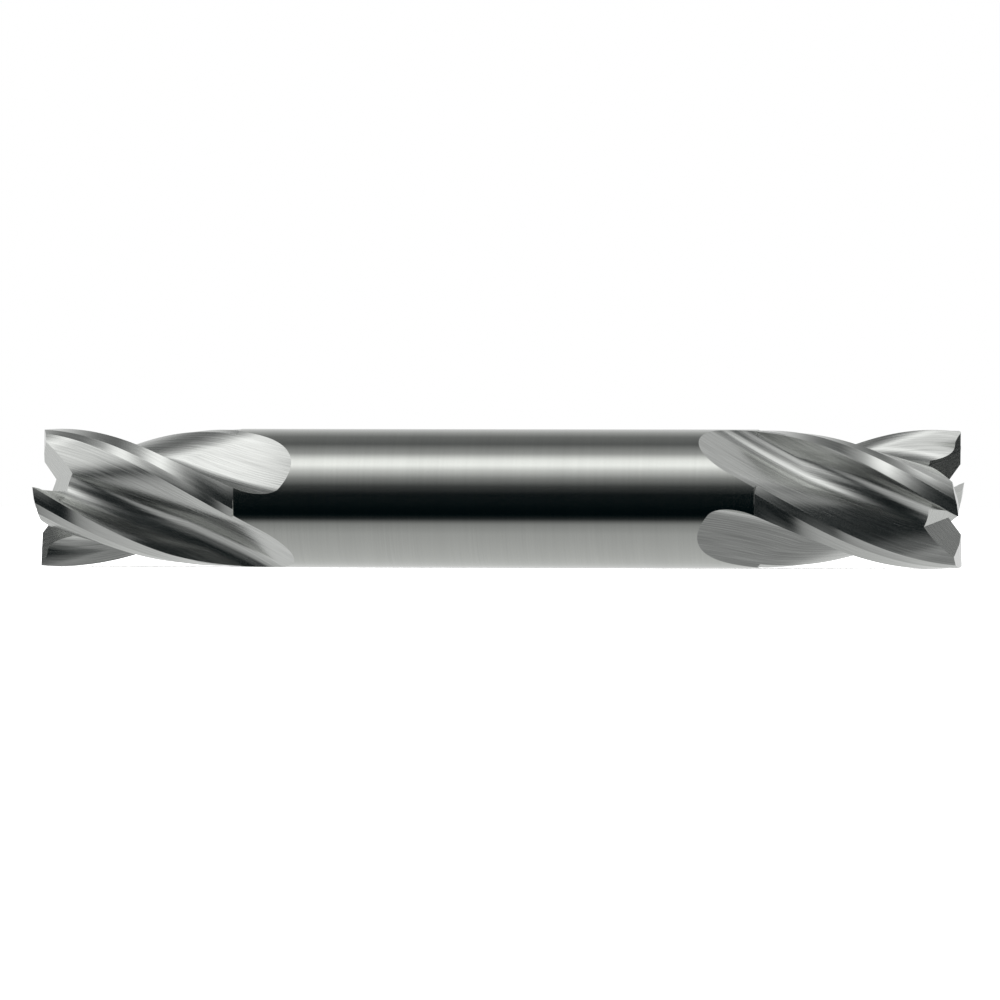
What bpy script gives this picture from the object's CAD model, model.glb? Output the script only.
"""Double-ended end mill of ground solid carbide, lying on a pale table under soft studio light."""

import logging
import math
from collections.abc import Callable
from dataclasses import dataclass
from enum import Enum

import bmesh
import bpy
import numpy as np
from mathutils import Matrix, Vector


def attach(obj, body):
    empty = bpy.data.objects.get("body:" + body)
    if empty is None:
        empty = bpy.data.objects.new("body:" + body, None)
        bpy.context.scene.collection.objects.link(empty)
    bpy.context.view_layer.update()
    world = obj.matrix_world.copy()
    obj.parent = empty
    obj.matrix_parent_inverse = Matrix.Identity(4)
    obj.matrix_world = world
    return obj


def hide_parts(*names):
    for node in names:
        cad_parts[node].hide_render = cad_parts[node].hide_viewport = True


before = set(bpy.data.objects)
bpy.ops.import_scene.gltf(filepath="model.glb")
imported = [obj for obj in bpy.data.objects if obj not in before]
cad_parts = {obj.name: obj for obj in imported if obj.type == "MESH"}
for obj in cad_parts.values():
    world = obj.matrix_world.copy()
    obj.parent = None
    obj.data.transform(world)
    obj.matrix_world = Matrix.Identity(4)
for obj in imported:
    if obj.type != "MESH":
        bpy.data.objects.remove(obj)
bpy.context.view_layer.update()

LOG = logging.getLogger("end_mill")
MM = 0.001
BODY = "root"
GRIND_UV = "grind"
FINISH_NAME = "finish"
FLUTES = 4
PITCH = 2 * math.pi / FLUTES
SHANK_RADIUS = 4.7625
CUT_RADIUS = 4.75
LEFT_ROLL = math.radians(8.7)
RIGHT_ROLL = math.radians(14.3)
POINT_GAP = 2e-7
HALVES_GAP = 1e-6

Triple = tuple[float, float, float]
Run = tuple[np.ndarray, np.ndarray, np.ndarray]
Value = float | bpy.types.NodeSocket
Palette = list[bpy.types.Material]


class End(Enum):
    """The two cutting ends: the left one points to -X, the right one is turned half round."""

    LEFT = "left"
    RIGHT = "right"


class Finish(Enum):
    """Ground surfaces of the tool, in the order of the material slots."""

    SHANK = 0
    PRIMARY_LAND = 1
    SECONDARY_LAND = 2
    FLUTE = 3
    RAMP = 4
    GASH = 5
    END_FACE = 6
    JOINT = 7


ANALYTIC = (Finish.SHANK, Finish.PRIMARY_LAND, Finish.SECONDARY_LAND, Finish.FLUTE, Finish.RAMP)


# ---------------------------------------------------------------------------------------------
# Shape of the grinding: everything here is in mm and radians, with the tip at x = 0
# ---------------------------------------------------------------------------------------------
def on_ray(x: np.ndarray, radius: np.ndarray, angle: np.ndarray) -> np.ndarray:
    """Points at a radius and at an angle from -Y towards +Z.

    Args:
        x: Stations along the axis.
        radius: Distances from the axis.
        angle: Angles about the axis.

    Returns:
        Points, with the coordinates in the last dimension.
    """
    x, radius, angle = np.broadcast_arrays(x, radius, angle)
    return np.stack([x, -radius * np.cos(angle), radius * np.sin(angle)], axis=-1)


@dataclass(frozen=True)
class Helix:
    """Right-hand screw that the teeth follow."""

    shank_radius: float = SHANK_RADIUS
    angle: float = math.radians(30.0)

    @property
    def screw(self) -> float:
        """Axial travel per radian."""
        return self.shank_radius / math.tan(self.angle)


@dataclass(frozen=True)
class FluteWheel:
    """Grinding wheel that cuts one flute, and the place where it stops and lifts off."""

    helix: Helix = Helix()
    radius: float = 39.6
    web_radius: float = 2.62
    swivel: float = math.radians(30.3)
    nose: float = 1.14
    rake_flank: float = math.radians(62.0)
    heel_flank: float = math.radians(29.5)
    lead: float = math.radians(24.2)
    stop: float = 10.35

    def rim(self, along_rim: np.ndarray) -> tuple[np.ndarray, np.ndarray, np.ndarray]:
        """Rim profile, from the rake flank over the nose to the heel flank.

        Args:
            along_rim: Distance along the rim from the nose's lowest point.

        Returns:
            Distance along the wheel's axis, drop below its radius, and tilt of its surface.
        """
        tilt = np.clip(along_rim / self.nose, -self.rake_flank, self.heel_flank)
        straight = along_rim - tilt * self.nose
        along = self.nose * np.sin(tilt) + straight * np.cos(tilt)
        drop = self.nose * (1 - np.cos(tilt)) + straight * np.sin(tilt)
        return along, drop, tilt

    def contact(self, along: np.ndarray, drop: np.ndarray, tilt: np.ndarray) -> np.ndarray:
        """Turn of the wheel at which its surface runs along the helix.

        Args:
            along: Distance along the wheel's axis.
            drop: Drop below the wheel's radius.
            tilt: Tilt of the wheel's surface.

        Returns:
            Turn from the wheel's deepest point.
        """
        screw = self.helix.screw
        centre = self.web_radius + self.radius
        slope = np.tan(tilt)
        sin_part = screw * math.cos(self.swivel) + centre * math.sin(self.swivel)
        cos_part = ((self.radius - drop) * slope - along) * math.cos(self.swivel)
        rest = slope * (screw * math.sin(self.swivel) - centre * math.cos(self.swivel))
        phase = np.arctan2(sin_part, cos_part)
        bend = np.arccos(np.clip(-rest / np.hypot(sin_part, cos_part), -1, 1))
        near, far = phase - bend, phase + bend
        return np.where(np.abs(near) < np.abs(far), near, far)

    def wall(self, along_rim: np.ndarray, x: float) -> tuple[np.ndarray, np.ndarray]:
        """Flute wall in the cross-section at one station.

        Args:
            along_rim: Distances along the wheel's rim.
            x: Station from the tip.

        Returns:
            Radius, and angle from the helical cutting edge.
        """
        along, drop, tilt = self.rim(along_rim)
        turn = self.contact(along, drop, tilt)
        spoke = self.radius - drop
        reach = along * math.sin(self.swivel)
        meets = self.stop + spoke * np.sin(turn) * math.cos(self.swivel) + reach
        sine = (x - self.stop - reach) / (spoke * math.cos(self.swivel))
        lifted = np.arcsin(np.clip(sine, -1, 1))
        swept = x <= meets
        turn = np.where(swept, turn, lifted)
        station = np.where(swept, meets, x)
        depth = self.web_radius + self.radius - spoke * np.cos(turn)
        side = along * math.cos(self.swivel) - spoke * np.sin(turn) * math.sin(self.swivel)
        roll = np.arctan2(side, depth) + self.lead - self.stop / self.helix.screw
        return np.hypot(depth, side), roll + station / self.helix.screw


@dataclass(frozen=True)
class Lands:
    """Relieved lands behind each cutting edge, and the plain shank beyond them."""

    cut_radius: float = CUT_RADIUS
    back_taper: float = 0.005
    shank_radius: float = SHANK_RADIUS
    length: float = 13.9
    ramp: float = 0.3
    width: float = 1.0
    primary: float = math.radians(9.0)
    secondary: float = math.radians(28.0)

    def primary_facet(self, angle: np.ndarray) -> np.ndarray:
        """Radius of the first flat facet at an angle behind the edge."""
        return self.cut_radius * math.cos(self.primary) / np.cos(angle - self.primary)

    def secondary_facet(self, angle: np.ndarray) -> np.ndarray:
        """Radius of the second flat facet at an angle behind the edge."""
        down = self.cut_radius - self.width * math.sin(self.primary)
        back = self.width * math.cos(self.primary)
        offset = down * math.cos(self.secondary) + back * math.sin(self.secondary)
        return offset / np.cos(angle - self.secondary)

    @property
    def knee(self) -> float:
        """Angle behind the edge at which the second facet starts."""
        down = self.cut_radius - self.width * math.sin(self.primary)
        return math.atan2(self.width * math.cos(self.primary), down)

    def bar(self, x: np.ndarray) -> np.ndarray:
        """Radius of the blank bar at a station: slightly tapered along the lands."""
        return self.cut_radius - self.back_taper * x / self.length

    def cone(self, x: np.ndarray) -> np.ndarray:
        """Radius of the short ramp that ends each land."""
        return self.cut_radius - self.back_taper - (self.length - x)

    def radius(self, angle: np.ndarray, x: float) -> np.ndarray:
        """Outer radius of a tooth at an angle behind its edge.

        Args:
            angle: Angle behind the edge; negative ahead of it.
            x: Station from the tip.

        Returns:
            Outer radius.
        """
        facets = np.where(angle < self.knee, self.primary_facet(angle), self.secondary_facet(angle))
        return np.minimum(np.maximum(facets, self.cone(x)), self.bar(x))


@dataclass(frozen=True)
class EndShape:
    """Everything that fixes the ground shape of one cutting end."""

    wheel: FluteWheel = FluteWheel()
    lands: Lands = Lands()
    overall_length: float = 63.5
    root_radius: float = 3.8
    rim_span: tuple[float, float] = (-3.6, 5.0)
    rim_samples: int = 1600
    run_out_search: float = 6.0
    halvings: int = 40
    normal_step: float = 1e-3

    @property
    def screw(self) -> float:
        """Axial travel per radian of helix."""
        return self.wheel.helix.screw

    def crossings(
        self, x: float, outer: Callable[[np.ndarray], np.ndarray]
    ) -> tuple[float, float] | None:
        """Where the flute wall passes out through an outer surface, on the rake and heel sides.

        Args:
            x: Station from the tip.
            outer: Function from the wall's angles to the outer radius there.

        Returns:
            The two distances along the wheel's rim, or None past the end of the flute.
        """
        rim = np.linspace(*self.rim_span, self.rim_samples)
        radius, angle = self.wheel.wall(rim, x)
        over = radius - outer(angle)
        lowest = int(np.argmin(over))
        if over[lowest] >= 0:
            return None
        step = rim[1] - rim[0]
        before = np.nonzero(over[:lowest] > 0)[0][-1]
        after = lowest + np.nonzero(over[lowest:] > 0)[0][0]
        rake = rim[before] + step * over[before] / (over[before] - over[before + 1])
        heel = rim[after] - step * over[after] / (over[after] - over[after - 1])
        return float(rake), float(heel)

    def root_crossings(self, x: float) -> tuple[float, float]:
        """Where the flute wall meets the roots of the teeth."""
        return self.crossings(x, lambda angle: np.full_like(angle, self.root_radius))

    def land_crossings(self, x: float) -> tuple[float, float]:
        """Where the flute wall meets one tooth's edge and the next tooth's heel."""

        def outer(angle: np.ndarray) -> np.ndarray:
            ahead = angle < PITCH / 2
            return np.where(ahead, self.lands.bar(x), self.lands.radius(PITCH - angle, x))

        return self.crossings(x, outer)

    def shank_crossings(self, x: float) -> tuple[float, float] | None:
        """Where the flute wall runs out through the shank."""
        return self.crossings(x, lambda angle: np.full_like(angle, self.lands.shank_radius))

    def run_out(self) -> float:
        """Station at which the last of the flute leaves the shank."""
        low, high = self.lands.length, self.lands.length + self.run_out_search
        for _ in range(self.halvings):
            middle = (low + high) / 2
            if self.shank_crossings(middle) is None:
                high = middle
            else:
                low = middle
        return low

    def surface(self, finish: Finish, x: np.ndarray, v: np.ndarray) -> tuple[np.ndarray, np.ndarray]:
        """Radius and untwisted angle of a ground surface.

        Args:
            finish: Which surface.
            x: Stations.
            v: Distance along the rim in a flute, or angle behind the edge elsewhere.

        Returns:
            Radius and angle.
        """
        if finish is Finish.FLUTE:
            return self.wheel.wall(v, x)
        if finish is Finish.PRIMARY_LAND:
            return self.lands.primary_facet(v), -v
        if finish is Finish.SECONDARY_LAND:
            return self.lands.secondary_facet(v), -v
        if finish is Finish.RAMP:
            return self.lands.cone(x), -v
        return np.full_like(v, self.lands.shank_radius), -v

    def polar_normal(self, finish: Finish, x: np.ndarray, v: np.ndarray) -> np.ndarray:
        """Normal of a ground surface as (axial, radial, tangential) parts, either way round.

        Args:
            finish: Which surface.
            x: Stations.
            v: The surface's own second coordinate.

        Returns:
            Unit normals.
        """
        step = self.normal_step
        radius, _ = self.surface(finish, x, v)
        far, near = self.surface(finish, x + step, v), self.surface(finish, x - step, v)
        radius_x = (far[0] - near[0]) / (2 * step)
        angle_x = (far[1] - near[1]) / (2 * step) - 1 / self.screw
        far, near = self.surface(finish, x, v + step), self.surface(finish, x, v - step)
        radius_v = (far[0] - near[0]) / (2 * step)
        angle_v = (far[1] - near[1]) / (2 * step)
        along = np.stack([np.ones_like(x), radius_x, radius * angle_x], axis=-1)
        across = np.stack([np.zeros_like(x), radius_v, radius * angle_v], axis=-1)
        normal = np.cross(along, across)
        return normal / np.linalg.norm(normal, axis=-1, keepdims=True)


# ---------------------------------------------------------------------------------------------
# Meshes
# ---------------------------------------------------------------------------------------------
class Skin:
    """Closed skin of one piece, gathered from patches and caps and then welded."""

    def __init__(self) -> None:
        """Starts with no faces."""
        self.points: list[np.ndarray] = []
        self.faces: list[tuple[int, ...]] = []
        self.finishes: list[int] = []
        self.uvs: list[np.ndarray] = []
        self.count = 0

    def patch(self, points: np.ndarray, uvs: np.ndarray, finish: Finish) -> None:
        """Adds a grid of quads.

        Args:
            points: Rows by columns of points, mm.
            uvs: Rows by columns of the surface's own coordinates.
            finish: Finish of the patch.
        """
        self.patch_by(points, uvs, np.full((points.shape[0] - 1, points.shape[1] - 1), finish.value))

    def patch_by(self, points: np.ndarray, uvs: np.ndarray, finishes: np.ndarray) -> None:
        """Adds a grid of quads with a finish for each quad.

        Args:
            points: Rows by columns of points, mm.
            uvs: Rows by columns of the surface's own coordinates.
            finishes: Number of the finish of each quad.
        """
        rows, columns = points.shape[:2]
        flat = uvs.reshape(-1, 2)
        for row in range(rows - 1):
            for column in range(columns - 1):
                a = row * columns + column
                corners = (a, a + 1, a + columns + 1, a + columns)
                self.faces.append(tuple(self.count + corner for corner in corners))
                self.finishes.append(int(finishes[row, column]))
                self.uvs.append(flat[list(corners)])
        self.points.append(points.reshape(-1, 3))
        self.count += rows * columns

    def sheet(self, stations: np.ndarray, runs: list[Run], finish: Finish) -> None:
        """Adds the surface that one run of the outline sweeps along its stations.

        Args:
            stations: Stations from the tip, at least as many as there are runs.
            runs: Radius, angle and own coordinate along the run at each station.
            finish: Finish of the surface.
        """
        radius, angle, own = (np.array([run[part] for run in runs]) for part in range(3))
        x = np.repeat(stations[: len(runs), None], radius.shape[1], axis=1)
        self.patch(on_ray(x, radius, angle), np.stack([x, own], axis=-1), finish)

    def fan(self, ring: np.ndarray, hub: np.ndarray, finish: Finish) -> None:
        """Adds a fan of triangles from a hub to a run of points.

        Args:
            ring: Points along the rim of the fan, mm.
            hub: Point that the triangles share, mm.
            finish: Finish of the fan.
        """
        points = np.vstack([ring, hub[None, :]])
        last = len(ring)
        for i in range(last - 1):
            corners = (i, i + 1, last)
            self.faces.append(tuple(self.count + corner for corner in corners))
            self.finishes.append(finish.value)
            self.uvs.append(points[list(corners)][:, 1:])
        self.points.append(points)
        self.count += len(points)

    def mesh(self, name: str, palette: Palette) -> bpy.types.Mesh:
        """Writes the skin as a mesh in metres.

        Args:
            name: Name of the mesh.
            palette: Materials in the order of the finishes.

        Returns:
            The welded mesh, still open where other copies will meet it.
        """
        mesh = bpy.data.meshes.new(name)
        mesh.from_pydata((np.vstack(self.points) * MM).tolist(), [], self.faces)
        layer = mesh.uv_layers.new(name=GRIND_UV)
        layer.data.foreach_set("uv", np.vstack(self.uvs).astype(np.float32).ravel())
        mesh.polygons.foreach_set("material_index", np.array(self.finishes, dtype=np.int32))
        for material in palette:
            mesh.materials.append(material)
        weld(mesh)
        return mesh


def weld(mesh: bpy.types.Mesh, gap: float = POINT_GAP) -> None:
    """Joins points that lie together, drops faces that have no area, and turns faces outward.

    Args:
        mesh: Mesh to change.
        gap: Largest distance joined, metres.
    """
    work = bmesh.new()
    work.from_mesh(mesh)
    bmesh.ops.remove_doubles(work, verts=work.verts, dist=gap)
    bmesh.ops.dissolve_degenerate(work, dist=gap / 2, edges=work.edges)
    bmesh.ops.recalc_face_normals(work, faces=work.faces)
    work.to_mesh(mesh)
    work.free()


def read(items: bpy.types.bpy_prop_collection, name: str, width: int, kind: type = float) -> np.ndarray:
    """Values of one property for every item.

    Args:
        items: Items of a mesh.
        name: Name of the property.
        width: Numbers in each value.
        kind: Type of the numbers.

    Returns:
        Values, one row for each item, or one number each where the width is 1.
    """
    values = np.empty(len(items) * width, dtype=kind)
    items.foreach_get(name, values)
    return values if width == 1 else values.reshape(-1, width)


def new_object(name: str, mesh: bpy.types.Mesh) -> bpy.types.Object:
    """Object for a mesh, linked to the scene at the origin."""
    made = bpy.data.objects.new(name, mesh)
    bpy.context.scene.collection.objects.link(made)
    return made


def applied(thing: bpy.types.Object) -> bpy.types.Mesh:
    """Plain mesh of an object with its modifiers worked in; the object is removed."""
    bpy.context.view_layer.update()
    graph = bpy.context.evaluated_depsgraph_get()
    mesh = bpy.data.meshes.new_from_object(
        thing.evaluated_get(graph), preserve_all_data_layers=True, depsgraph=graph
    )
    bpy.data.objects.remove(thing)
    return mesh


# ---------------------------------------------------------------------------------------------
# Node groups
# ---------------------------------------------------------------------------------------------
class Graph:
    """Short way to add and join nodes in a node tree."""

    def __init__(self, tree: bpy.types.NodeTree) -> None:
        """Keeps the tree."""
        self.tree = tree

    def add(
        self, kind: str, inputs: dict[str | int, object] | None = None, **settings: object
    ) -> bpy.types.Node:
        """Adds a node.

        Args:
            kind: Node type.
            inputs: Values or output sockets for the node's inputs, by name or number.
            settings: Values for the node's own settings.

        Returns:
            The node.
        """
        node = self.tree.nodes.new(kind)
        for name, value in settings.items():
            setattr(node, name, value)
        for key, value in (inputs or {}).items():
            if isinstance(value, bpy.types.NodeSocket):
                self.tree.links.new(value, node.inputs[key])
            else:
                node.inputs[key].default_value = value
        return node

    def math(self, operation: str, first: Value, second: Value = 0.0) -> bpy.types.NodeSocket:
        """Result of a math node."""
        node = self.add("ShaderNodeMath", {0: first, 1: second}, operation=operation)
        return node.outputs[0]


def geometry_group(name: str, inputs: dict[str, str]) -> tuple[Graph, bpy.types.Node]:
    """Geometry node group with named inputs.

    Args:
        name: Name of the group.
        inputs: Socket type of each input after the geometry, by name.

    Returns:
        The group's graph and its input node.
    """
    tree = bpy.data.node_groups.new(name, "GeometryNodeTree")
    tree.interface.new_socket("Geometry", in_out="INPUT", socket_type="NodeSocketGeometry")
    for title, kind in inputs.items():
        tree.interface.new_socket(title, in_out="INPUT", socket_type=kind)
    tree.interface.new_socket("Geometry", in_out="OUTPUT", socket_type="NodeSocketGeometry")
    graph = Graph(tree)
    return graph, graph.add("NodeGroupInput")


def painted(graph: Graph, geometry: bpy.types.NodeSocket, palette: Palette) -> None:
    """Ends a group: instances made real, then each finish given its material.

    Args:
        graph: Graph of the group.
        geometry: Geometry to finish.
        palette: Materials in the order of the finishes.
    """
    geometry = graph.add("GeometryNodeRealizeInstances", {0: geometry}).outputs[0]
    finish = graph.add("GeometryNodeInputNamedAttribute", {"Name": FINISH_NAME}, data_type="INT")
    for index, material in enumerate(palette):
        same = graph.add("FunctionNodeCompare", data_type="INT", operation="EQUAL")
        graph.tree.links.new(finish.outputs[0], same.inputs[2])
        same.inputs[3].default_value = index
        wanted = {"Geometry": geometry, "Selection": same.outputs[0], "Material": material}
        geometry = graph.add("GeometryNodeSetMaterial", wanted).outputs[0]
    graph.add("NodeGroupOutput", {0: geometry})


def helical_grind(palette: Palette) -> bpy.types.NodeTree:
    """Group that winds a straight section along the helix and repeats it round the axis.

    Args:
        palette: Materials in the order of the finishes.

    Returns:
        The group.
    """
    floats = "NodeSocketFloat"
    titles = {"Travel per radian": floats, "Helix ends at": floats, "Copies": "NodeSocketInt"}
    graph, given = geometry_group("helical_grind", titles)
    place = graph.add("GeometryNodeInputPosition").outputs[0]
    station = graph.add("ShaderNodeSeparateXYZ", {0: place}).outputs[0]
    held = graph.math("MINIMUM", station, given.outputs["Helix ends at"])
    turn = graph.math("DIVIDE", held, given.outputs["Travel per radian"])
    wound = graph.add("ShaderNodeVectorRotate", {"Vector": place, "Angle": turn}, rotation_type="X_AXIS")
    bent = graph.add("GeometryNodeSetPosition", {0: given.outputs[0], "Position": wound.outputs[0]})
    spots = graph.add("GeometryNodePoints", {"Count": given.outputs["Copies"]})
    index = graph.add("GeometryNodeInputIndex").outputs[0]
    spin = graph.math("MULTIPLY", index, -PITCH)
    around = graph.add("ShaderNodeCombineXYZ", {0: spin}).outputs[0]
    copies = {"Points": spots.outputs[0], "Instance": bent.outputs[0], "Rotation": around}
    ring = graph.add("GeometryNodeInstanceOnPoints", copies)
    painted(graph, ring.outputs[0], palette)
    return graph.tree


def placed_end(palette: Palette) -> bpy.types.NodeTree:
    """Group that rolls a finished end, turns it end for end if asked, and moves it to its tip.

    Args:
        palette: Materials in the order of the finishes.

    Returns:
        The group.
    """
    floats = "NodeSocketFloat"
    titles = {"Roll": floats, "Half turn": floats, "Tip": floats}
    graph, given = geometry_group("placed_end", titles)
    back = graph.math("MULTIPLY", given.outputs["Roll"], -1.0)
    roll = graph.add("ShaderNodeCombineXYZ", {0: back}).outputs[0]
    flip = graph.math("MULTIPLY", given.outputs["Half turn"], math.pi)
    turn = graph.add("ShaderNodeCombineXYZ", {1: flip}).outputs[0]
    move = graph.add("ShaderNodeCombineXYZ", {0: given.outputs["Tip"]}).outputs[0]
    rolled = graph.add("GeometryNodeTransform", {0: given.outputs[0], "Rotation": roll})
    there = {0: rolled.outputs[0], "Rotation": turn, "Translation": move}
    placed = graph.add("GeometryNodeTransform", there)
    painted(graph, placed.outputs[0], palette)
    return graph.tree


def through_group(
    mesh: bpy.types.Mesh, group: bpy.types.NodeTree, values: dict[str, float]
) -> bpy.types.Mesh:
    """Runs a mesh through a geometry node group and returns the plain result.

    Args:
        mesh: Mesh to run; its material numbers say its finishes.
        group: The node group.
        values: Value of each named input.

    Returns:
        The new mesh.
    """
    finishes = read(mesh.polygons, "material_index", 1, np.int32)
    layer = mesh.attributes.get(FINISH_NAME) or mesh.attributes.new(FINISH_NAME, "INT", "FACE")
    layer.data.foreach_set("value", finishes)
    thing = new_object("in_work", mesh)
    modifier = thing.modifiers.new(group.name, "NODES")
    modifier.node_group = group
    for item in group.interface.items_tree:
        if item.in_out == "INPUT" and item.name in values:
            modifier[item.identifier] = values[item.name]
    return applied(thing)


# ---------------------------------------------------------------------------------------------
# Pieces
# ---------------------------------------------------------------------------------------------
@dataclass(frozen=True)
class Placement:
    """Where one cutting end goes on the tool."""

    end: End
    roll: float

    @property
    def turned(self) -> bool:
        """True for the end that is turned half round."""
        return self.end is End.RIGHT

    def local(self, points: np.ndarray, half_length: float) -> np.ndarray:
        """Points in the end's own axes, with its tip at x = 0."""
        sign = -1.0 if self.turned else 1.0
        return np.stack([sign * points[:, 0] + half_length, points[:, 1], sign * points[:, 2]], axis=-1)

    def outward(self, normals: np.ndarray) -> np.ndarray:
        """Normals from the end's own axes in the tool's axes."""
        return normals * np.array([-1.0, 1.0, -1.0]) if self.turned else normals


@dataclass(frozen=True)
class Workshop:
    """What every piece is made with."""

    shape: EndShape
    palette: Palette
    grind: bpy.types.NodeTree
    place: bpy.types.NodeTree

    def wound(self, mesh: bpy.types.Mesh, copies: int, stop: float) -> bpy.types.Mesh:
        """Mesh wound along the helix, and repeated round the axis.

        Args:
            mesh: Straight mesh.
            copies: How many of it go round the axis.
            stop: Station past which the helix stays as it is, mm.

        Returns:
            The welded mesh.
        """
        values = {"Travel per radian": self.shape.screw * MM, "Helix ends at": stop * MM, "Copies": copies}
        made = through_group(mesh, self.grind, values)
        weld(made)
        return made

    def placed(self, mesh: bpy.types.Mesh, at: Placement, extra_roll: float = 0.0) -> bpy.types.Mesh:
        """Mesh of an end put in its place on the tool.

        Args:
            mesh: Mesh in the end's own axes.
            at: Where the end goes.
            extra_roll: Further roll about the axis.

        Returns:
            A new mesh, in place.
        """
        tip = self.shape.overall_length / 2 * MM * (1 if at.turned else -1)
        values = {"Roll": at.roll + extra_roll, "Half turn": float(at.turned), "Tip": tip}
        return through_group(mesh.copy(), self.place, values)

    def dressed(self, mesh: bpy.types.Mesh, name: str, nodes: tuple[str, ...], slot: str) -> None:
        """Makes the finished object that stands for its CAD nodes.

        Args:
            mesh: Finished mesh, in place.
            name: Name of the object.
            nodes: CAD nodes that it replaces.
            slot: Material slot of the record.
        """
        made = new_object(name, mesh)
        mesh.name = name
        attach(made, BODY)
        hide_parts(*nodes)
        LOG.info("%s: %d faces", name, len(mesh.polygons))

    def shade(self, mesh: bpy.types.Mesh, ends: tuple[Placement, ...]) -> None:
        """Gives each corner the exact normal of the ground surface that it lies on.

        Args:
            mesh: Finished mesh, in place.
            ends: The ends that the mesh belongs to, the left one first.
        """
        vertex = read(mesh.loops, "vertex_index", 1, np.int32)
        places = read(mesh.vertices, "co", 3)[vertex] / MM
        totals = read(mesh.polygons, "loop_total", 1, np.int32)
        finishes = np.repeat(read(mesh.attributes[FINISH_NAME].data, "value", 1, np.int32), totals)
        flat = np.repeat(read(mesh.polygons, "normal", 3), totals, axis=0)
        uv = read(mesh.uv_layers[GRIND_UV].data, "uv", 2)
        normals = flat.copy()
        for at in ends:
            mine = np.full(len(vertex), True) if len(ends) == 1 else (places[:, 0] > 0) == at.turned
            for finish in ANALYTIC:
                chosen = mine & (finishes == finish.value)
                if chosen.any():
                    picked = (places[chosen], uv[chosen], flat[chosen])
                    normals[chosen] = self.corner_normals(finish, *picked, at)
        mesh.polygons.foreach_set("use_smooth", np.full(len(mesh.polygons), True))
        mesh.normals_split_custom_set(normals.tolist())

    def corner_normals(
        self, finish: Finish, places: np.ndarray, uv: np.ndarray, flat: np.ndarray, at: Placement
    ) -> np.ndarray:
        """Exact normals of one surface, turned to the faces' own side.

        Args:
            finish: The surface.
            places: Corners, mm.
            uv: Station and own coordinate of each corner.
            flat: Normal of each corner's face.
            at: Where the end is.

        Returns:
            Normal at each corner.
        """
        own = at.local(places, self.shape.overall_length / 2)
        parts = self.shape.polar_normal(finish, uv[:, 0], uv[:, 1])
        reach = np.hypot(own[:, 1], own[:, 2])
        out = np.stack([np.zeros_like(reach), own[:, 1] / reach, own[:, 2] / reach], axis=-1)
        side = np.stack([np.zeros_like(reach), out[:, 2], -out[:, 1]], axis=-1)
        made = parts[:, 1:2] * out + parts[:, 2:3] * side
        made[:, 0] += parts[:, 0]
        made = at.outward(made)
        facing = np.sign(np.sum(made * flat, axis=-1, keepdims=True))
        return made * np.where(facing == 0, 1.0, facing)


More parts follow.
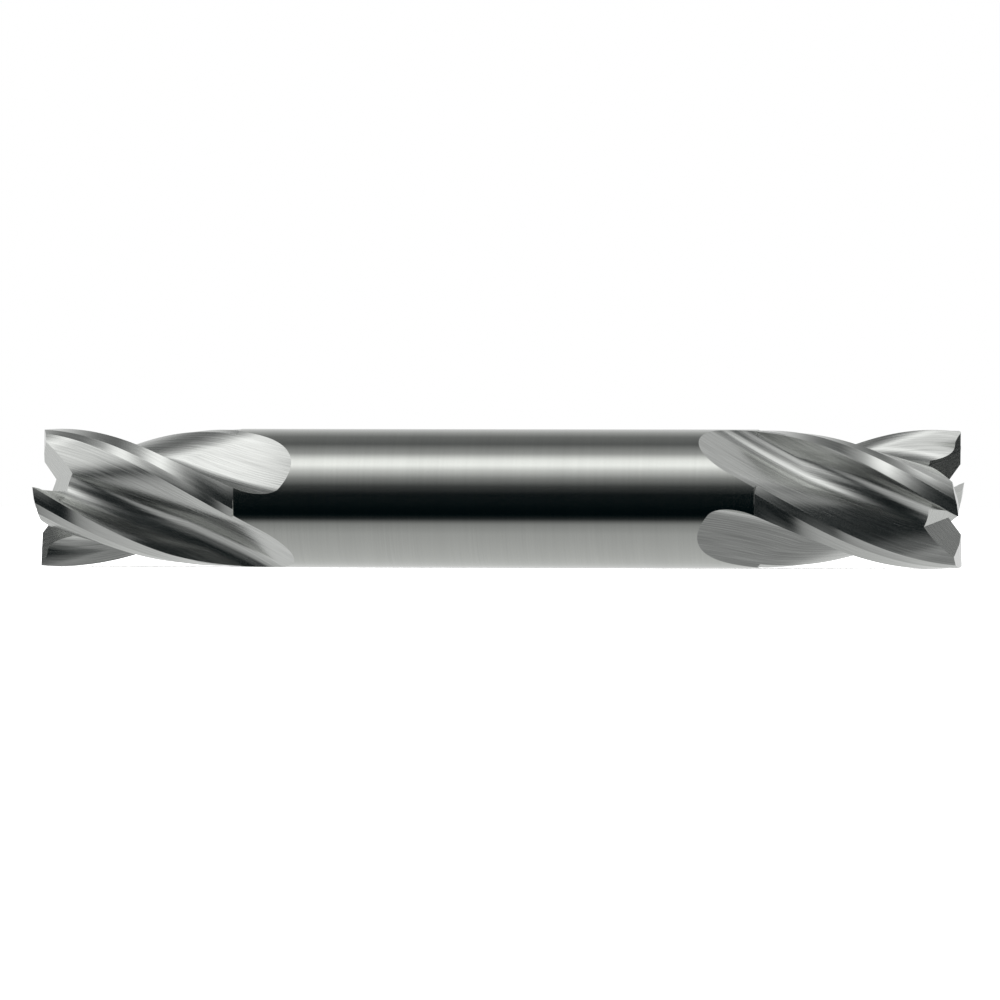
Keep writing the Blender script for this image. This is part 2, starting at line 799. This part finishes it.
@dataclass(frozen=True)
class EndGrinder:
    """Wedges that are ground out of a tip: a gash before each end tooth and two reliefs behind it."""

    cut_radius: float = CUT_RADIUS
    clear: float = 2.0
    dish: float = math.tan(math.radians(1.0))
    first_relief: float = math.tan(math.radians(7.0))
    second_relief: float = math.tan(math.radians(14.0))
    end_land: float = 0.8
    sector: float = math.radians(70.0)
    gash_floor: Triple = (0.58, 0.567, 0.25)
    gash_wall: Triple = (1.81, 0.55, -0.714)
    line_slant: Triple = (1.0, 0.35, 0.2)
    solver: str = "MANIFOLD"

    def wedge(
        self, name: str, low: float, high: float, planes: list[tuple[Triple, Triple]], finish: Finish
    ) -> bpy.types.Mesh:
        """Convex wedge: a block in front of the tip, cut back by planes.

        Args:
            name: Name of the mesh.
            low: Lowest height of the block.
            high: Greatest height of the block.
            planes: Point and outward direction of each plane; what is outside goes.
            finish: Finish that the wedge leaves.

        Returns:
            The wedge's mesh, in mm.
        """
        reach = self.cut_radius + self.clear
        work = bmesh.new()
        bmesh.ops.create_cube(work, size=1.0)
        size = Matrix.Diagonal((reach, 2 * reach, high - low, 1.0))
        middle = Matrix.Translation((reach / 2 - self.clear, 0.0, (low + high) / 2))
        work.transform(middle @ size)
        for point, outward in planes:
            everything = work.verts[:] + work.edges[:] + work.faces[:]
            cut = bmesh.ops.bisect_plane(
                work, geom=everything, plane_co=point, plane_no=outward, clear_outer=True
            )
            rim = [item for item in cut["geom_cut"] if isinstance(item, bmesh.types.BMEdge)]
            bmesh.ops.contextual_create(work, geom=rim)
        bmesh.ops.recalc_face_normals(work, faces=work.faces)
        layer = work.loops.layers.uv.new(GRIND_UV)
        for face in work.faces:
            face.material_index = finish.value
            across = face.normal.cross(Vector(self.line_slant)).normalized()
            along = face.normal.cross(across)
            for loop in face.loops:
                loop[layer].uv = (loop.vert.co.dot(along), loop.vert.co.dot(across))
        mesh = bpy.data.meshes.new(name)
        work.to_mesh(mesh)
        work.free()
        return mesh

    @staticmethod
    def facing(depth: float, outward: float, across: float) -> tuple[Triple, Triple]:
        """Plane x = depth + outward * (-y) + across * z, with its far side to go."""
        return (depth, 0.0, 0.0), (1.0, outward, -across)

    def wedges(self) -> list[bpy.types.Mesh]:
        """The three wedges of one end tooth."""
        reach = self.cut_radius + self.clear
        start = self.cut_radius * self.dish
        step_back = self.end_land * (self.second_relief - self.first_relief)
        limit = ((0.0, 0.0, 0.0), (0.0, math.sin(self.sector), -math.cos(self.sector)))
        gash = [self.facing(*self.gash_floor), self.facing(*self.gash_wall)]
        near = [limit, self.facing(start, -self.dish, -self.first_relief)]
        far = [limit, self.facing(start - step_back, -self.dish, -self.second_relief)]
        return [
            self.wedge("gash", 0.0, reach, gash, Finish.GASH),
            self.wedge("end_primary", -reach, 0.0, near, Finish.END_FACE),
            self.wedge("end_secondary", -reach, 0.0, far, Finish.END_FACE),
        ]

    def ground(self, mesh: bpy.types.Mesh, palette: Palette) -> bpy.types.Mesh:
        """Mesh with every wedge taken out at every tooth.

        Args:
            mesh: Closed mesh of part of an end.
            palette: Materials in the order of the finishes.

        Returns:
            The mesh after the end has been ground.
        """
        mesh.transform(Matrix.Scale(1 / MM, 4))
        thing = new_object("in_grinding", mesh)
        cutters = []
        for wedge in self.wedges():
            for material in palette:
                wedge.materials.append(material)
            for number in range(FLUTES):
                cutter = new_object(f"{wedge.name}_{number}", wedge.copy())
                cutter.data.transform(Matrix.Rotation(-PITCH * number, 4, "X"))
                cutters.append(cutter)
                modifier = thing.modifiers.new(cutter.name, "BOOLEAN")
                modifier.operation = "DIFFERENCE"
                modifier.solver = self.solver
                modifier.object = cutter
        made = applied(thing)
        for cutter in cutters:
            bpy.data.objects.remove(cutter)
        made.transform(Matrix.Scale(MM, 4))
        return made


@dataclass(frozen=True)
class ToothBlank:
    """One helical tooth, straight and not yet ground at its tip."""

    row_step: float = 0.12
    ramp_rows: int = 16
    rake_columns: int = 9
    margin_columns: int = 2
    land_columns: int = 8
    heel_columns: int = 11
    root_columns: int = 14
    hair: float = 1e-6

    def stations(self, lands: Lands) -> np.ndarray:
        """Rows along the tooth, closer together where its land ends."""
        start = lands.length - lands.ramp
        plain = np.linspace(0.0, start, round(start / self.row_step) + 1)
        return np.concatenate([plain, np.linspace(start, lands.length, self.ramp_rows)[1:]])

    def section(
        self, shape: EndShape, x: float
    ) -> list[tuple[np.ndarray, np.ndarray, np.ndarray, Finish]]:
        """Outline of the tooth at a station.

        Args:
            shape: Shape of the end.
            x: Station from the tip.

        Returns:
            Radius, angle, own coordinate and finish of each run of the outline.
        """
        rake_root, heel_root = shape.root_crossings(x)
        rake_edge, heel_edge = shape.land_crossings(x)
        lands, knee = shape.lands, shape.lands.knee
        rake = np.linspace(rake_root, rake_edge, self.rake_columns)
        heel = np.linspace(heel_edge, heel_root, self.heel_columns)
        rake_radius, rake_angle = shape.wheel.wall(rake, x)
        heel_radius, heel_angle = shape.wheel.wall(heel, x)
        heel_angle = heel_angle - PITCH
        margin = np.linspace(-rake_angle[-1], 0.0, self.margin_columns)
        primary = np.linspace(0.0, knee, self.land_columns)
        secondary = np.linspace(knee, -heel_angle[0], self.land_columns)
        root = np.linspace(heel_angle[-1], rake_angle[0], self.root_columns)
        outer = [lands.radius(behind, x) for behind in (margin, primary, secondary)]
        rake_radius[-1], heel_radius[0] = outer[0][0], outer[2][-1]
        heel_radius[-1] = rake_radius[0] = shape.root_radius
        return [
            (rake_radius, rake_angle, rake, Finish.FLUTE),
            (outer[0], -margin, margin, Finish.PRIMARY_LAND),
            (outer[1], -primary, primary, Finish.PRIMARY_LAND),
            (outer[2], -secondary, secondary, Finish.SECONDARY_LAND),
            (heel_radius, heel_angle, heel, Finish.FLUTE),
            (np.full(self.root_columns, shape.root_radius), root, root, Finish.JOINT),
        ]

    def mesh(self, shop: Workshop) -> bpy.types.Mesh:
        """Closed mesh of the straight tooth."""
        shape, skin = shop.shape, Skin()
        stations = self.stations(shape.lands)
        sections = [self.section(shape, x) for x in stations]
        for run in range(len(sections[0])):
            radius, angle, own = (np.array([cut[run][part] for cut in sections]) for part in range(3))
            x = np.repeat(stations[:, None], radius.shape[1], axis=1)
            finish = sections[0][run][3]
            finishes = np.full((len(stations) - 1, radius.shape[1] - 1), finish.value)
            if finish in (Finish.PRIMARY_LAND, Finish.SECONDARY_LAND):
                on_cone = radius <= shape.lands.cone(x) + self.hair
                finishes[on_cone[:-1, :-1] & on_cone[1:, 1:]] = Finish.RAMP.value
            skin.patch_by(on_ray(x, radius, angle), np.stack([x, own], axis=-1), finishes)
        for row, finish in ((0, Finish.END_FACE), (-1, Finish.JOINT)):
            outline = [on_ray(stations[row], cut[0][:-1], cut[1][:-1]) for cut in sections[row]]
            ring = np.vstack(outline + [outline[0][:1]])
            skin.fan(ring, ring[:-1].mean(axis=0), finish)
        return skin.mesh("tooth_blank", shop.palette)


@dataclass(frozen=True)
class WebBlank:
    """A quarter of the core inside the teeth, straight and not yet ground at its tip."""

    row_step: float = 0.12
    flute_columns: int = 44
    root_columns: int = 14

    def mesh(self, shop: Workshop) -> bpy.types.Mesh:
        """Mesh of the quarter, which closes once it is repeated round the axis."""
        shape, skin = shop.shape, Skin()
        length = shape.lands.length
        stations = np.linspace(0.0, length, round(length / self.row_step) + 1)
        flute, roots = [], []
        for x in stations:
            rake, heel = shape.root_crossings(x)
            rim = np.linspace(rake, heel, self.flute_columns)
            radius, angle = shape.wheel.wall(rim, x)
            radius[0] = radius[-1] = shape.root_radius
            flute.append((radius, angle, rim))
            turn = np.linspace(angle[-1] - PITCH, angle[0], self.root_columns)
            roots.append((np.full(self.root_columns, shape.root_radius), turn, turn))
        skin.sheet(stations, flute, Finish.FLUTE)
        skin.sheet(stations, roots, Finish.JOINT)
        for row, finish in ((0, Finish.END_FACE), (-1, Finish.JOINT)):
            x = stations[row]
            for radius, angle, _ in (flute[row], roots[row]):
                skin.fan(on_ray(x, radius, angle), np.array([x, 0.0, 0.0]), finish)
        return skin.mesh("web_blank", shop.palette)


@dataclass(frozen=True)
class ShankBlank:
    """A quarter of one half of the shank, with one flute running out in it."""

    flute_rows: int = 60
    plain_rows: int = 10
    flute_columns: int = 60
    bar_columns: int = 40

    def mesh(self, shop: Workshop, run_out: float, roll: float) -> bpy.types.Mesh:
        """Mesh of the quarter, which closes once it is repeated and joined to the other half.

        Args:
            shop: What the piece is made with.
            run_out: Station at which the flute leaves the shank.
            roll: Roll of the end that this half belongs to.

        Returns:
            The quarter's mesh.
        """
        shape, skin = shop.shape, Skin()
        start, half = shape.lands.length, shape.overall_length / 2
        share = np.linspace(0.0, 1.0, self.flute_rows + 1)
        stations = run_out - (run_out - start) * (1 - share) ** 2
        flute, bar = [], []
        last = (0.0, 0.0)
        for x in stations:
            last = shape.shank_crossings(min(x, run_out)) or last
            rim = np.linspace(*last, self.flute_columns)
            radius, angle = shape.wheel.wall(rim, x)
            if x == stations[-1]:
                angle = np.full_like(angle, angle.mean())
                radius = np.full_like(radius, shape.lands.shank_radius)
            radius[0] = radius[-1] = shape.lands.shank_radius
            flute.append((radius, angle, rim))
            turn = np.linspace(angle[-1] - PITCH, angle[0], self.bar_columns + 1)
            bar.append((np.full_like(turn, shape.lands.shank_radius), turn, -turn))
        plain = np.linspace(run_out, half, self.plain_rows + 1)
        settle = self.settle(bar[-1][1][0], run_out, shape.screw, roll)
        for x in plain[1:]:
            turn = bar[self.flute_rows][1] + settle * (x - run_out) / (half - run_out)
            bar.append((np.full_like(turn, shape.lands.shank_radius), turn, -turn))
        rows = np.concatenate([stations, plain[1:]])
        skin.sheet(rows, flute, Finish.FLUTE)
        skin.sheet(rows, bar, Finish.SHANK)
        for radius, angle, _ in (flute[0], bar[0]):
            skin.fan(on_ray(start, radius, angle), np.array([start, 0.0, 0.0]), Finish.JOINT)
        return skin.mesh("shank_blank", shop.palette)

    def settle(self, first: float, run_out: float, screw: float, roll: float) -> float:
        """Small turn that brings the middle ring's points onto the same spokes from both halves.

        Args:
            first: Angle of the ring's first point, before the helix.
            run_out: Station at which the helix stops.
            screw: Axial travel per radian.
            roll: Roll of the end that this half belongs to.

        Returns:
            Turn in radians.
        """
        spoke = PITCH / self.bar_columns
        there = first - run_out / screw + roll
        target = round(there / spoke) * spoke
        return target - there


class CuttingEnd:
    """Web and four teeth of one end."""

    def __init__(self, shop: Workshop, at: Placement) -> None:
        """Keeps what the end is made with and where it goes."""
        self.shop = shop
        self.at = at

    def build(self, tooth: bpy.types.Mesh, web: bpy.types.Mesh) -> None:
        """Places and dresses the web and the four teeth.

        Args:
            tooth: Ground tooth in the end's own axes.
            web: Ground web in the end's own axes.
        """
        side = self.at.end.value
        core = self.shop.placed(web, self.at)
        self.shop.shade(core, (self.at,))
        self.shop.dressed(core, f"{side}_web_ground", (f"{side}_web",), "ground_flute")
        for number in range(1, FLUTES + 1):
            copy = self.shop.placed(tooth, self.at, number * PITCH)
            self.shop.shade(copy, (self.at,))
            name = f"{side}_tooth_{number}"
            self.shop.dressed(copy, f"{name}_ground", (name,), "ground_tooth")


class Shank:
    """Plain shank with the run-outs of all eight flutes."""

    def __init__(self, shop: Workshop, ends: tuple[Placement, Placement]) -> None:
        """Keeps what the shank is made with and its two ends."""
        self.shop = shop
        self.ends = ends

    def build(self) -> None:
        """Builds both halves, joins them and dresses the shank."""
        run_out = self.shop.shape.run_out()
        joined = bmesh.new()
        for at in self.ends:
            blank = ShankBlank().mesh(self.shop, run_out, at.roll)
            half = self.shop.placed(self.shop.wound(blank, FLUTES, run_out), at)
            joined.from_mesh(half)
        mesh = bpy.data.meshes.new("shank_ground")
        joined.to_mesh(mesh)
        joined.free()
        for material in self.shop.palette:
            mesh.materials.append(material)
        weld(mesh, HALVES_GAP)
        self.shop.shade(mesh, self.ends)
        self.shop.dressed(mesh, "shank_ground", ("shank",), "ground_shank")


# ---------------------------------------------------------------------------------------------
# Finishes
# ---------------------------------------------------------------------------------------------
@dataclass(frozen=True)
class GroundMetal:
    """Ground carbide: metal with fine lines along the direction in which it was ground."""

    name: str
    colour: Triple
    roughness: float
    uneven: float
    lines: tuple[float, float]
    contrast: float
    bands: tuple[float, float] = (0.1, 1.0)
    band_contrast: float = 0.0
    spread: float = 0.0
    bump: float = 0.0
    round_the_bar: bool = False
    detail: float = 3.0
    line_seed: float = 3.1
    band_seed: float = 17.3
    smoothest: float = 0.03
    across_lines: float = 0.25

    def pattern(
        self, graph: Graph, place: bpy.types.NodeSocket, scale: tuple[float, float], seed: float
    ) -> bpy.types.NodeSocket:
        """Noise drawn out along the grinding direction.

        Args:
            graph: Graph of the material.
            place: Coordinates in mm, along the grinding direction first.
            scale: Detail along the lines and across them, per mm.
            seed: Offset that makes each pattern its own.

        Returns:
            Socket with values about one half.
        """
        sized = graph.add(
            "ShaderNodeMapping",
            {"Vector": place, "Scale": (scale[0], scale[1], scale[0]), "Location": (seed, seed, seed)},
        )
        wanted = {"Vector": sized.outputs[0], "Scale": 1.0, "Detail": self.detail}
        return graph.add("ShaderNodeTexNoise", wanted).outputs[0]

    def swing(self, graph: Graph, pattern: bpy.types.NodeSocket, amount: float) -> bpy.types.NodeSocket:
        """Pattern as a change about nothing, times an amount."""
        return graph.math("MULTIPLY", graph.math("SUBTRACT", pattern, 0.5), amount)

    def coordinates(self, graph: Graph) -> bpy.types.NodeSocket:
        """Coordinates in mm with the grinding direction first."""
        if not self.round_the_bar:
            return graph.add("ShaderNodeUVMap", uv_map=GRIND_UV).outputs[0]
        place = graph.add("ShaderNodeTexCoord").outputs["Object"]
        parts = graph.add("ShaderNodeSeparateXYZ", {0: place})
        millimetres = [graph.math("MULTIPLY", parts.outputs[i], 1 / MM) for i in (1, 0, 2)]
        joined = graph.add("ShaderNodeCombineXYZ", dict(enumerate(millimetres)))
        return joined.outputs[0]

    def build(self) -> bpy.types.Material:
        """Makes the material."""
        material = bpy.data.materials.new(self.name)
        material.use_nodes = True
        material.node_tree.nodes.clear()
        graph = Graph(material.node_tree)
        place = self.coordinates(graph)
        fine = self.pattern(graph, place, self.lines, self.line_seed)
        broad = self.pattern(graph, place, self.bands, self.band_seed)
        change = graph.math(
            "ADD", self.swing(graph, fine, self.contrast), self.swing(graph, broad, self.band_contrast)
        )
        value = graph.math("ADD", change, 1.0)
        lit = graph.add("ShaderNodeVectorMath", {0: self.colour, "Scale": value}, operation="SCALE")
        uneven = graph.math("ADD", self.swing(graph, fine, self.uneven), self.roughness)
        rough = graph.math("MAXIMUM", uneven, self.smoothest)
        shader = graph.add("ShaderNodeBsdfPrincipled", {"Base Color": lit.outputs[0], "Roughness": rough})
        shader.inputs["Metallic"].default_value = 1.0
        if self.spread:
            tangent = graph.add("ShaderNodeTangent", direction_type="UV_MAP", uv_map=GRIND_UV)
            graph.tree.links.new(tangent.outputs[0], shader.inputs["Tangent"])
            shader.inputs["Anisotropic"].default_value = self.spread
            shader.inputs["Anisotropic Rotation"].default_value = self.across_lines
        if self.bump:
            relief = {"Height": fine, "Strength": 1.0, "Distance": self.bump * MM}
            bump = graph.add("ShaderNodeBump", relief)
            graph.tree.links.new(bump.outputs[0], shader.inputs["Normal"])
        graph.add("ShaderNodeOutputMaterial", {0: shader.outputs[0]})
        return material


def finishes() -> Palette:
    """Materials of the tool in the order of the finishes."""
    grey = (0.555, 0.567, 0.54)
    pale = (0.62, 0.63, 0.61)
    bright = (0.64, 0.65, 0.63)
    brightest = (0.72, 0.72, 0.71)
    recipes = {
        Finish.SHANK: GroundMetal(
            "centreless_ground",
            grey,
            roughness=0.11,
            uneven=0.05,
            lines=(0.15, 14.0),
            contrast=0.12,
            bands=(0.05, 0.8),
            band_contrast=0.10,
            round_the_bar=True,
        ),
        Finish.PRIMARY_LAND: GroundMetal(
            "primary_land",
            pale,
            roughness=0.19,
            uneven=0.15,
            lines=(0.5, 30.0),
            contrast=0.35,
            bump=0.0006,
        ),
        Finish.SECONDARY_LAND: GroundMetal(
            "secondary_land",
            pale,
            roughness=0.22,
            uneven=0.15,
            lines=(0.5, 30.0),
            contrast=0.4,
            bump=0.0006,
        ),
        Finish.FLUTE: GroundMetal(
            "flute",
            bright,
            roughness=0.22,
            uneven=0.25,
            lines=(0.3, 12.0),
            contrast=0.9,
            bands=(0.12, 2.2),
            band_contrast=0.35,
            spread=0.55,
            bump=0.0016,
        ),
        Finish.RAMP: GroundMetal(
            "land_ramp", grey, roughness=0.25, uneven=0.1, lines=(2.0, 12.0), contrast=0.2
        ),
        Finish.GASH: GroundMetal(
            "gash", pale, roughness=0.26, uneven=0.15, lines=(0.6, 9.0), contrast=0.45, bump=0.0015
        ),
        Finish.END_FACE: GroundMetal(
            "end_face", brightest, roughness=0.28, uneven=0.12, lines=(0.6, 9.0), contrast=0.35, bump=0.001
        ),
        Finish.JOINT: GroundMetal(
            "inside", grey, roughness=0.4, uneven=0.1, lines=(1.0, 5.0), contrast=0.1
        ),
    }
    return [recipes[finish].build() for finish in Finish]


# ---------------------------------------------------------------------------------------------
# Studio
# ---------------------------------------------------------------------------------------------
@dataclass(frozen=True)
class Band:
    """Brightness of the studio at one height round the tool's axis."""

    name: str
    height: float
    light: float


@dataclass(frozen=True)
class Screen:
    """Panel or card beside the tool; heights are in degrees round the tool's axis.

    The side is the part of a direction along the tool, from -1 at the left to 1 at the right.
    """

    name: str
    height: float
    half_height: float
    near_side: float
    far_side: float
    light: float
    edge: float = 14.0


@dataclass(frozen=True)
class Studio:
    """White table and backdrop, a strip light overhead, cards in front and beside the tool.

    The bands go round the tool's axis in degrees, from behind it under the table to the front at 0
    and over the top to behind it again. Brightness is linear, and lengths are in metres.
    """

    bands: tuple[Band, ...] = (
        Band("table_behind", -180.0, 0.85),
        Band("table_below", -92.0, 0.62),
        Band("table_front", -62.0, 0.53),
        Band("table_edge", -44.0, 0.36),
        Band("card_foot", -35.0, 0.025),
        Band("card_low", -28.0, 0.003),
        Band("card_top", 7.0, 0.004),
        Band("front_dim", 20.0, 0.06),
        Band("front_fill", 34.0, 0.34),
        Band("strip_front", 48.0, 0.92),
        Band("strip", 57.0, 1.5),
        Band("strip_back", 66.0, 1.35),
        Band("ceiling", 80.0, 0.49),
        Band("ceiling_dark", 102.0, 0.145),
        Band("back_dim", 124.0, 0.23),
        Band("back_wall", 150.0, 0.62),
        Band("backdrop", 180.0, 0.85),
    )
    screens: tuple[Screen, ...] = (
        Screen("left_panel", 18.0, 32.0, -0.22, -0.62, 0.9),
        Screen("right_card", 36.0, 42.0, 0.0, 0.28, 0.008),
        Screen("right_table", -86.0, 34.0, 0.05, 0.4, 0.3),
        Screen("right_edge", -26.0, 14.0, 0.04, 0.22, 0.14),
        Screen("back_panel", 124.0, 18.0, 0.04, 0.24, 0.6),
        Screen("right_wall", 122.0, 26.0, 0.42, 0.6, 0.2),
    )
    shadow_tint: Triple = (-0.004, 0.0, 0.001)
    brightest: float = 1.5
    wash: float = 1.5
    table_glow: float = 0.3
    table_half: float = 3.0
    table_grey: float = 0.95
    lamp_height: float = 0.6
    lamp_size: float = 0.6
    lamp_power: float = 1.2

    def build(self) -> None:
        """Makes the surroundings, the table and the light."""
        self.surroundings()
        self.table()
        self.soft_box()

    def surroundings(self) -> None:
        """White backdrop for the camera, with the studio's bands in what the metal reflects."""
        world = bpy.data.worlds.new("studio")
        bpy.context.scene.world = world
        world.use_nodes = True
        world.node_tree.nodes.clear()
        graph = Graph(world.node_tree)
        direction = graph.add("ShaderNodeTexCoord").outputs["Generated"]
        parts = graph.add("ShaderNodeSeparateXYZ", {0: direction})
        toward = graph.math("MULTIPLY", parts.outputs[1], -1.0)
        height = graph.math("ARCTAN2", parts.outputs[2], toward)
        share = graph.math("ADD", graph.math("DIVIDE", height, 2 * math.pi), 0.5)
        ramp = graph.add("ShaderNodeValToRGB", {0: share})
        stops = ramp.color_ramp.elements
        while len(stops) < len(self.bands):
            stops.new(0.5)
        for stop, band in zip(stops, self.bands):
            stop.position = math.radians(band.height) / (2 * math.pi) + 0.5
            level = band.light / self.brightest
            stop.color = (level, level, level, 1.0)
        light = graph.math("MULTIPLY", ramp.outputs[0], self.brightest)
        degrees = graph.math("DEGREES", height)
        for screen in self.screens:
            light = self.screened(graph, screen, degrees, parts.outputs[0], light)
        shades = [graph.math("MAXIMUM", graph.math("ADD", light, tint), 0.0) for tint in self.shadow_tint]
        colour = graph.add("ShaderNodeCombineXYZ", dict(enumerate(shades)))
        lit = graph.add("ShaderNodeBackground", {0: colour.outputs[0]})
        path = graph.add("ShaderNodeLightPath")
        seen = graph.math("MULTIPLY", path.outputs["Is Camera Ray"], 1.0 - self.wash)
        wash = graph.math("ADD", seen, self.wash)
        white = graph.add("ShaderNodeBackground", {0: (1.0, 1.0, 1.0, 1.0), 1: wash})
        mixed = graph.add("ShaderNodeMixShader", {0: path.outputs["Is Glossy Ray"]})
        graph.tree.links.new(white.outputs[0], mixed.inputs[1])
        graph.tree.links.new(lit.outputs[0], mixed.inputs[2])
        graph.add("ShaderNodeOutputWorld", {0: mixed.outputs[0]})

    def screened(
        self,
        graph: Graph,
        screen: Screen,
        height: bpy.types.NodeSocket,
        side: bpy.types.NodeSocket,
        light: bpy.types.NodeSocket,
    ) -> bpy.types.NodeSocket:
        """Puts one screen into the light that the metal reflects.

        Args:
            graph: Graph of the surroundings.
            screen: Screen to put in.
            height: Height of the direction, degrees.
            side: Part of the direction along the tool.
            light: Light without the screen.

        Returns:
            Light with the screen in place.
        """
        apart = graph.math("ABSOLUTE", graph.math("SUBTRACT", height, screen.height))
        above = {"From Min": screen.half_height + screen.edge, "From Max": screen.half_height - screen.edge}
        along = {"From Min": screen.near_side, "From Max": screen.far_side}
        cover = graph.math("MULTIPLY", self.smooth(graph, apart, above), self.smooth(graph, side, along))
        change = graph.math("SUBTRACT", screen.light, light)
        return graph.math("ADD", light, graph.math("MULTIPLY", change, cover))

    @staticmethod
    def smooth(
        graph: Graph, value: bpy.types.NodeSocket, limits: dict[str, float]
    ) -> bpy.types.NodeSocket:
        """Smooth step from 0 at the first limit to 1 at the second."""
        steps = graph.add("ShaderNodeMapRange", {"Value": value, **limits}, interpolation_type="SMOOTHSTEP")
        return steps.outputs[0]

    def table(self) -> None:
        """Pale table that the tool lies on; what the metal reflects below is in the bands."""
        half, low = self.table_half, -SHANK_RADIUS * MM
        mesh = bpy.data.meshes.new("table")
        corners = [(-half, -half, low), (half, -half, low), (half, half, low), (-half, half, low)]
        mesh.from_pydata(corners, [], [(0, 1, 2, 3)])
        top = new_object("table", mesh)
        material = bpy.data.materials.new("pale_table")
        material.use_nodes = True
        shader = material.node_tree.nodes["Principled BSDF"]
        grey = self.table_grey
        shader.inputs["Base Color"].default_value = (grey, grey, grey, 1.0)
        shader.inputs["Roughness"].default_value = 1.0
        shader.inputs["Specular IOR Level"].default_value = 0.0
        shader.inputs["Emission Color"].default_value = (1.0, 1.0, 1.0, 1.0)
        shader.inputs["Emission Strength"].default_value = self.table_glow
        mesh.materials.append(material)
        top.visible_glossy = False

    def soft_box(self) -> None:
        """Large soft light over the table."""
        light = bpy.data.lights.new("soft_box", "AREA")
        light.shape = "SQUARE"
        light.size = self.lamp_size
        light.energy = self.lamp_power
        lamp = bpy.data.objects.new("soft_box", light)
        lamp.location = (0.0, 0.0, self.lamp_height)
        lamp.visible_glossy = False
        bpy.context.scene.collection.objects.link(lamp)


@dataclass(frozen=True)
class Viewpoint:
    """Camera on the level of the tool's axis, a little towards its right end."""

    distance: float = 0.538
    azimuth: float = math.radians(5.76)
    roll: float = math.radians(0.13)
    lens: float = 281.5
    sensor: float = 36.0
    nearest: float = 0.01
    shift: tuple[float, float] = (0.0005, -0.0016)

    def build(self) -> None:
        """Makes the camera and sets it as the scene's."""
        camera = bpy.data.cameras.new("camera")
        camera.lens = self.lens
        camera.sensor_width = self.sensor
        camera.shift_x, camera.shift_y = self.shift
        camera.clip_start = self.nearest
        holder = bpy.data.objects.new("camera", camera)
        away = (math.sin(self.azimuth), -math.cos(self.azimuth), 0.0)
        turn = Matrix.Rotation(self.azimuth, 4, "Z") @ Matrix.Rotation(math.pi / 2, 4, "X")
        turn = turn @ Matrix.Rotation(self.roll, 4, "Z")
        holder.matrix_world = Matrix.Translation(Vector(away) * self.distance) @ turn
        bpy.context.scene.collection.objects.link(holder)
        bpy.context.scene.camera = holder


def main() -> None:
    """Builds the tool, the studio and the camera."""
    logging.basicConfig(level=logging.INFO, format="%(message)s")
    bpy.context.scene.view_settings.view_transform = "Standard"
    palette = finishes()
    shop = Workshop(EndShape(), palette, helical_grind(palette), placed_end(palette))
    left = Placement(End.LEFT, LEFT_ROLL)
    right = Placement(End.RIGHT, RIGHT_ROLL)
    Shank(shop, (left, right)).build()
    whole = shop.shape.overall_length
    grinder = EndGrinder()
    tooth = grinder.ground(shop.wound(ToothBlank().mesh(shop), 1, whole), palette)
    web = grinder.ground(shop.wound(WebBlank().mesh(shop), FLUTES, whole), palette)
    for at in (left, right):
        CuttingEnd(shop, at).build(tooth, web)
    Studio().build()
    Viewpoint().build()


if __name__ == "__main__":
    main()
